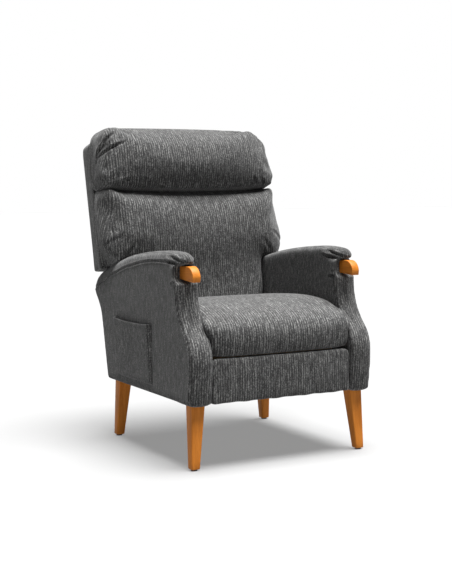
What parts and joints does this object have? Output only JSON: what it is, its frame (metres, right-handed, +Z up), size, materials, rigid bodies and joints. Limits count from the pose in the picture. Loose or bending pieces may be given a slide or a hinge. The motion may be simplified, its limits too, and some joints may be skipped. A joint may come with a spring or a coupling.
{
  "type": "recliner armchair",
  "caption": "High-back push-back reclining armchair on tapered wooden legs, with padded arms, wooden knuckles, a side pocket and a fold-out footrest.",
  "frame": {"origin": "on the floor, below the middle of the chair's bounding box", "axes": "+Z up, the chair faces -Y, +X to the sitter's left"},
  "size_m": [0.6975, 0.8563, 1.0968],
  "materials": {
    "chenille": "dark grey ribbed chenille with pale flecks, matt",
    "show_wood": "honey-brown satin lacquer",
    "frame_wood": "unfinished softwood and plywood",
    "black_steel": "satin black paint",
    "spring_wire": "drawn spring wire",
    "nylon": "natural nylon",
    "plastic_black": "moulded black plastic",
    "black_lining": "thin black non-woven cloth"
  },
  "bodies": {
    "base": {"leg_front_left": "show_wood", "leg_front_right": "show_wood", "leg_rear_left": "show_wood", "leg_rear_right": "show_wood", "leg_glide_front_left": "plastic_black", "leg_glide_front_right": "plastic_black", "leg_glide_rear_left": "plastic_black", "leg_glide_rear_right": "plastic_black", "arm_cover_left": "chenille", "arm_cover_right": "chenille", "arm_frame_left": "frame_wood", "arm_frame_right": "frame_wood", "knuckle_left": "show_wood", "knuckle_right": "show_wood", "rear_rail": "frame_wood", "base_stretcher": "frame_wood", "bottom_cover": "black_lining", "magazine_pocket": "chenille", "slide_rail_left": "black_steel", "slide_rail_right": "black_steel", "back_pivot_plate_left": "black_steel", "back_pivot_plate_right": "black_steel"},
    "seat": {"seat_rail_front": "frame_wood", "seat_rail_rear": "frame_wood", "seat_rail_left": "frame_wood", "seat_rail_right": "frame_wood", "seat_spring_1": "spring_wire", "seat_spring_2": "spring_wire", "seat_spring_3": "spring_wire", "seat_cushion": "chenille", "seat_side_plate_left": "black_steel", "seat_side_plate_right": "black_steel", "drive_plate_left": "black_steel", "drive_plate_right": "black_steel", "glide_block_left": "nylon", "glide_block_right": "nylon"},
    "back": {"back_outer_cover": "chenille", "back_top_rail": "frame_wood", "back_bottom_rail": "frame_wood", "back_post_left": "frame_wood", "back_post_right": "frame_wood", "back_wing_panel_left": "frame_wood", "back_wing_panel_right": "frame_wood", "back_bracket_left": "black_steel", "back_bracket_right": "black_steel", "back_spring_1": "spring_wire", "back_spring_2": "spring_wire", "lumbar_cushion": "chenille", "headrest_cushion": "chenille"},
    "footrest_rear_links": {"footrest_rear_link_left": "black_steel", "footrest_rear_link_right": "black_steel"},
    "footrest_guide_links": {"footrest_guide_link_left": "black_steel", "footrest_guide_link_right": "black_steel"},
    "footrest_front_links": {"footrest_front_link_left": "black_steel", "footrest_front_link_right": "black_steel"},
    "footrest": {"footrest_board": "frame_wood", "footrest_pad": "chenille", "footrest_bracket_left": "black_steel", "footrest_bracket_right": "black_steel"}
  },
  "joints": [
    {"name": "back_recline", "type": "hinge", "parent": "base", "child": "back", "pos_m": [0, 0.3165, 0.545], "axis": [-1, 0, 0], "range_deg": [0, 25]},
    {"name": "seat_glide", "type": "slide", "parent": "base", "child": "seat", "axis": [0, -1, 0], "range_m": [0, 0.0672]},
    {"name": "footrest_rear_link_swing", "type": "hinge", "parent": "seat", "child": "footrest_rear_links", "pos_m": [0, -0.2585, 0.3], "axis": [-1, 0, 0], "range_deg": [0, 165.1]},
    {"name": "footrest_guide_link_swing", "type": "hinge", "parent": "seat", "child": "footrest_guide_links", "pos_m": [0, -0.30252, 0.30936], "axis": [-1, 0, 0], "range_deg": [0, 165.1]},
    {"name": "footrest_front_link_fold", "type": "hinge", "parent": "footrest_rear_links", "child": "footrest_front_links", "pos_m": [0, -0.14574, 0.25896], "axis": [1, 0, 0], "range_deg": [0, 165.1]},
    {"name": "footrest_tilt", "type": "hinge", "parent": "footrest_front_links", "child": "footrest", "pos_m": [0, -0.3585, 0.285], "axis": [-1, 0, 0], "range_deg": [0, 95.1]}
  ],
  "couplings": [
    {"joint": "seat_glide", "follows": "back_recline", "m_per_rad": 0.15355},
    {"joint": "footrest_rear_link_swing", "follows": "back_recline", "ratio": 6.6},
    {"joint": "footrest_guide_link_swing", "follows": "back_recline", "ratio": 6.6},
    {"joint": "footrest_front_link_fold", "follows": "back_recline", "ratio": 6.6},
    {"joint": "footrest_tilt", "follows": "back_recline", "ratio": 3.8}
  ]
}
